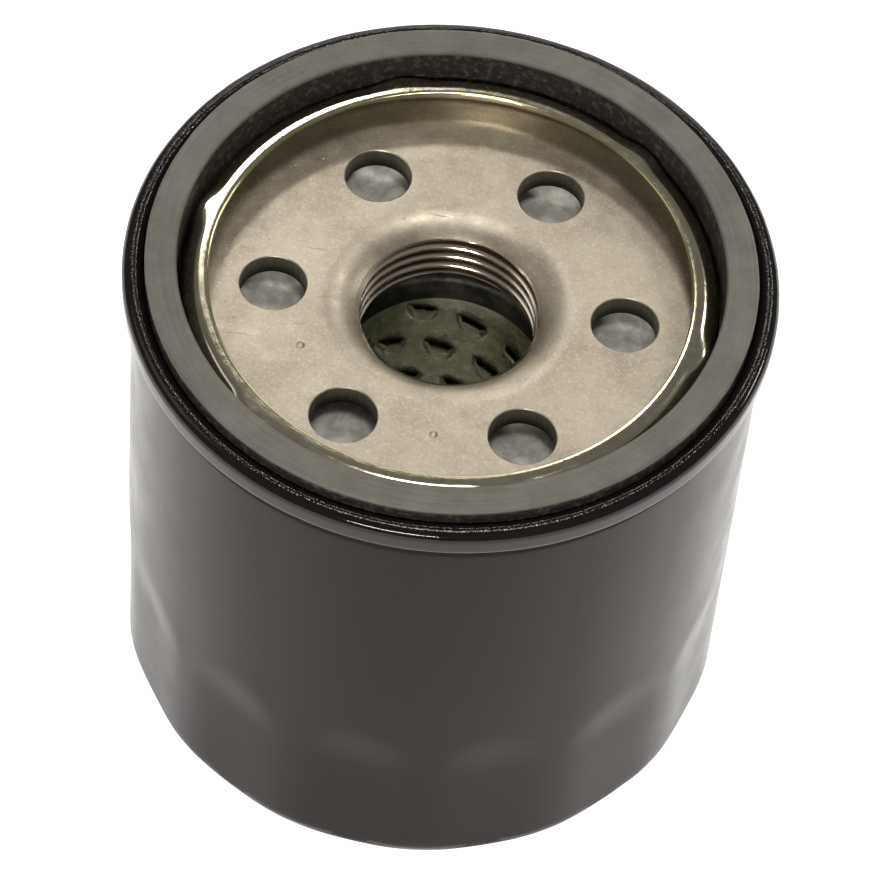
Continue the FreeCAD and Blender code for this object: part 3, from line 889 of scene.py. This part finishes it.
def make_valve():
    """Moulded rubber anti-drainback valve under the plate."""
    sleeve_low_z = cap_top_z + valve_rubber / 2 + 0.02
    under_plate_z = plate_top_z - plate_thickness
    shoulder_z = under_plate_z - valve_shoulder_drop
    tip_z = under_plate_z - valve_rubber / 2 - 0.05
    outline = sheet_outline([
        (valve_inner_r, sleeve_low_z), (valve_inner_r, shoulder_z, 0.8),
        (valve_shoulder_r, shoulder_z, 1.2), (valve_tip_r, tip_z)],
        valve_rubber, straight_step=0.5, turn_step_deg=8)

    def uneven(r, z, angle):
        skirt = ramp(r, skirt_wave_r, 5.0)
        return r, z - skirt * np.abs(ripple(angle, skirt_wave, (2, 3, 5), 21))

    vertices, faces = lathe(outline, 240, reshape=uneven)
    valve = add_piece("anti_drainback_rubber", vertices, faces, valve_material, sharp_deg=50)
    place(valve, "filter", "valve_rubber", "anti_drainback_valve")


def make_upper_cap():
    """Pressed pan with its collar in the centre tube."""
    half = cap_sheet / 2
    collar_r = tube_outer_r - tube_sheet - half - collar_clearance
    flat_z = cap_top_z - half
    rim_low_z = cap_low.z + half
    outline = sheet_outline([
        (collar_r, flat_z - collar_depth), (collar_r, flat_z, 0.6), (cap_outer_r - half, flat_z, 0.8),
        (cap_outer_r - half, rim_low_z)], cap_sheet, straight_step=4.0)
    vertices, faces = lathe(outline, 240)
    # The cap's near-black colour is painted shade.
    cap = add_piece("upper_cap_pan", vertices, faces, stained_material, sharp_deg=40)
    place(cap, "filter", "tinplate", "upper_end_cap")


def tube_rows():
    """Heights of the grid's rows above one row of slits, closer together where the louvres are."""
    plain = np.linspace(0, slot_row_rise - louvre_drop - 0.2, 7)[:-1]
    shaped = slot_row_rise - (louvre_drop + 0.2) * (1 - np.linspace(0, 1, 12)) ** 1.3
    return np.concatenate([plain, shaped[:-1]])


def make_tube():
    """Centre tube wound from strip, with its lock seam.

    Rows of slits climb round it, each with the sheet below it pressed inward as a louvre. A slit is
    torn open in the grid by giving its row two sets of vertices.
    """
    columns = slots_per_turn * columns_per_slot
    turn_rise = slot_rows * slot_row_rise
    one_row = tube_rows()
    rows_per_row = len(one_row)
    first = int(np.floor((tube_low_z - slot_start_z - turn_rise) / slot_row_rise)) - 1
    last = int(np.ceil((tube_high_z - slot_start_z) / slot_row_rise)) + 1
    heights = np.concatenate([one_row + slot_row_rise * i for i in range(first, last)])
    slit_index = np.repeat(np.arange(first, last), rows_per_row)
    inner_r = tube_outer_r - tube_sheet
    lowest_louvre_z = tube_low_z + plain_tube_low
    highest_louvre_z = cap_top_z - plain_tube_high

    def surface(column, height, slit):
        """Point of the strip. A slit number bends it to the louvre below that row of slits."""
        column_z = slot_start_z + turn_rise * column / columns
        z = column_z + height
        shift = slot_shift * (slit % slot_rows)
        along = (column / columns_per_slot - shift + 0.5) % 1.0 - 0.5
        along = along * 2 * pi * inner_r / slots_per_turn
        drop = slit * slot_row_rise - height
        slit_z = column_z + slit * slot_row_rise
        reach = 1 - (abs(along) / louvre_half_length) ** 2.6 - (drop / louvre_drop) ** 1.8
        lip = 0.0
        if drop >= 0 and reach > 0 and lowest_louvre_z < slit_z < highest_louvre_z:
            lip = louvre_depth * min(1.0, reach / 0.55) ** 1.2
        from_seam = height % turn_rise - (turn_rise - slot_row_rise + lock_seam_offset)
        fade = (ramp(z, lowest_louvre_z, lock_seam_fade)
                * ramp(z, highest_louvre_z, -lock_seam_fade))
        fold = lock_seam_depth * fade * max(0.0, 1 - (from_seam / lock_seam_half_width) ** 4)
        from_crease = abs(from_seam - crease_offset)
        crease = crease_depth * fade * max(0.0, 1 - from_crease / crease_half_width)
        r = inner_r - lip - fold + crease
        angle = radians(slot_phase_deg) + 2 * pi * column / columns
        clipped = min(max(z, tube_low_z), tube_high_z)
        return (r * cos(angle), r * sin(angle), clipped), z, lip

    vertices = []
    upper = {}
    lower = {}
    levels = {}
    for column in range(columns + 1):
        for row, height in enumerate(heights):
            slit = int(slit_index[row])
            point, z, _ = surface(column, height, slit + 1)
            levels[column, row] = z
            upper[column, row] = len(vertices)
            lower[column, row] = len(vertices)
            vertices.append(point)
            if row % rows_per_row == 0:
                bent, _, lip = surface(column, height, slit)
                if lip > 0:
                    lower[column, row] = len(vertices)
                    vertices.append(bent)
    faces = []
    for column in range(columns):
        for row in range(len(heights) - 1):
            corners = [(column, row), (column + 1, row), (column + 1, row + 1), (column, row + 1)]
            corner_levels = [levels[corner] for corner in corners]
            if max(corner_levels) <= tube_low_z or min(corner_levels) >= tube_high_z:
                continue
            faces.append((upper[corners[0]], upper[corners[1]],
                          lower[corners[2]], lower[corners[3]]))
    tube = add_piece("louvred_tube", np.array(vertices), faces, tin_material, sharp_deg=38)
    wall = tube.modifiers.new("sheet", "SOLIDIFY")
    wall.thickness = tube_sheet * MM
    wall.offset = 1.0
    place(tube, "filter", "tinplate", "centre_tube")


def make_valve_spring():
    """Round-wire coil over the bypass valve, built at one fixed length. The real spring shortens
    towards the cage as the valve lifts; this mesh does not.
    """
    wire_r = spring_wire / 2
    mean_r = spring_high.x - wire_r
    rise = spring_high.z - spring_low.z - spring_wire
    steps = spring_turn_steps * spring_turns
    turned = np.linspace(0, 2 * pi * spring_turns, steps + 1)[:, None]
    around = (np.arange(spring_wire_facets) * 2 * pi / spring_wire_facets)[None, :]
    lean = atan2(rise, 2 * pi * spring_turns * mean_r)
    outward = wire_r * np.cos(around)
    upward = wire_r * np.sin(around)
    r = mean_r + outward + 0 * turned
    z = spring_low.z + wire_r + rise * turned / turned[-1] + upward * cos(lean)
    angle = turned - upward * sin(lean) / mean_r
    closing_strip = spring_wire_facets    # the faces that would join the coil's two ends
    faces = grid_faces(steps + 1, spring_wire_facets, True)[:-closing_strip]
    last = steps * spring_wire_facets
    faces.append(tuple(reversed(range(spring_wire_facets))))
    faces.append(tuple(range(last, last + spring_wire_facets)))
    piece = add_piece("valve_spring_coil", polar_grid(r, z, angle), faces, spring_material)
    place(piece, "filter", "spring_steel", "bypass_spring")
    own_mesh(piece)


def set_cad_materials():
    """Give every CAD node that still shows its material."""
    finishes = {
        "seam_sealing_bead": compound_material,
        "upper_potting": potting_material,
        "lower_potting": potting_material,
        "pleated_media": paper_material,
        "media_seam_clip": tin_material,
        "lower_end_cap": tin_material,
        "bypass_cage": tin_material,
        "bypass_seal": valve_material,
        "bypass_washer": spring_material,
        "bypass_poppet": spring_material,
        "support_spring_seat": spring_material,
        "element_support_spring": spring_material,
    }
    for name, material in finishes.items():
        cad_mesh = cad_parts[name].data
        cad_mesh.materials.clear()
        cad_mesh.materials.append(material)


make_can()
make_lid()
make_gasket()
make_plate()
make_valve()
make_upper_cap()
make_tube()
make_valve_spring()
set_cad_materials()


# ---------------------------------------------------------------- floor, light and camera

def make_floor():
    """Wide pale floor just under the foot. It glows softly, so that it renders as plain white."""
    size = 3.0
    low = -0.02 * MM
    corners = [(-size, -size, low), (size, -size, low), (size, size, low), (-size, size, low)]
    mesh = bpy.data.meshes.new("floor")
    mesh.from_pydata(corners, [], [(0, 1, 2, 3)])
    floor = bpy.data.objects.new("floor", mesh)
    bpy.context.scene.collection.objects.link(floor)
    s = Surface("pale_floor", Roughness=0.9, Specular_IOR_Level=0.1, Emission_Strength=1.15)
    pale = s.mix(s.noise(3, 2), rgb(0.80, 0.80, 0.80), rgb(0.84, 0.84, 0.84))
    s.drive("Base Color", pale)
    s.drive("Emission Color", pale)
    mesh.materials.append(s.material)


def add_area_light(name, azimuth_deg, elevation_deg, width, height, power):
    """Soft warm light a metre from the filter. Azimuth 0 is in front, at -Y, and grows to the right."""
    light = bpy.data.lights.new(name, "AREA")
    light.shape = "RECTANGLE"
    light.size = width
    light.size_y = height
    light.energy = power
    light.color = (1.0, 0.96, 0.88)
    lamp = bpy.data.objects.new(name, light)
    bpy.context.scene.collection.objects.link(lamp)
    azimuth = radians(azimuth_deg)
    elevation = radians(elevation_deg)
    target = Vector((0, 0, total_height * MM))
    across = cos(elevation)
    direction = Vector((sin(azimuth) * across, -cos(azimuth) * across, sin(elevation)))
    lamp.location = target + direction
    lamp.rotation_euler = direction.to_track_quat("Z", "Y").to_euler()


def make_world():
    """Even warm fill light."""
    world = bpy.data.worlds.new("studio")
    bpy.context.scene.world = world
    world.use_nodes = True
    background = world.node_tree.nodes["Background"]
    background.inputs["Color"].default_value = (1.0, 0.96, 0.90, 1.0)
    background.inputs["Strength"].default_value = 0.18


def make_camera():
    """Camera above the front of the filter, slightly rolled, aimed just off the gasket's centre."""
    distance = 0.500
    elevation = radians(51.33)
    yaw = radians(0.14)
    pitch = radians(-2.18)
    roll = radians(5.51)
    target = Vector((0, 0, total_height * MM))
    eye = target + Vector((0, -cos(elevation), sin(elevation))) * distance
    forward = (target - eye).normalized()
    right = Vector((1, 0, 0))
    up = right.cross(forward)
    forward = (forward + right * tan(yaw) + up * tan(pitch)).normalized()
    right = forward.cross(up).normalized()
    up = right.cross(forward)
    turned_right = right * cos(roll) + up * sin(roll)
    turned_up = up * cos(roll) - right * sin(roll)
    data = bpy.data.cameras.new("camera")
    data.sensor_width = 36.0
    data.lens = 195.7
    camera = bpy.data.objects.new("camera", data)
    bpy.context.scene.collection.objects.link(camera)
    axes = Matrix((turned_right, turned_up, -forward)).transposed()
    camera.matrix_world = Matrix.Translation(eye) @ axes.to_4x4()
    bpy.context.scene.camera = camera


make_floor()
make_world()
for light in [
        # name, azimuth, elevation, width, height, power
        ("back_key", 190, 46, 0.15, 0.10, 1.05),
        ("back_right", 142, 45, 0.13, 0.08, 1.2),
        ("front_flash", -10, 33, 0.36, 0.05, 5.6),
        ("right_low", 112, 24, 0.20, 0.06, 1.2),
        ("left_soft", -100, 42, 0.50, 0.40, 0.6),
        ("back_low", 180, 22, 0.80, 0.40, 2.2),
        ("overhead", 166, 84, 0.26, 0.20, 3.3)]:
    add_area_light(*light)
make_camera()
bpy.context.scene.view_settings.view_transform = "Standard"
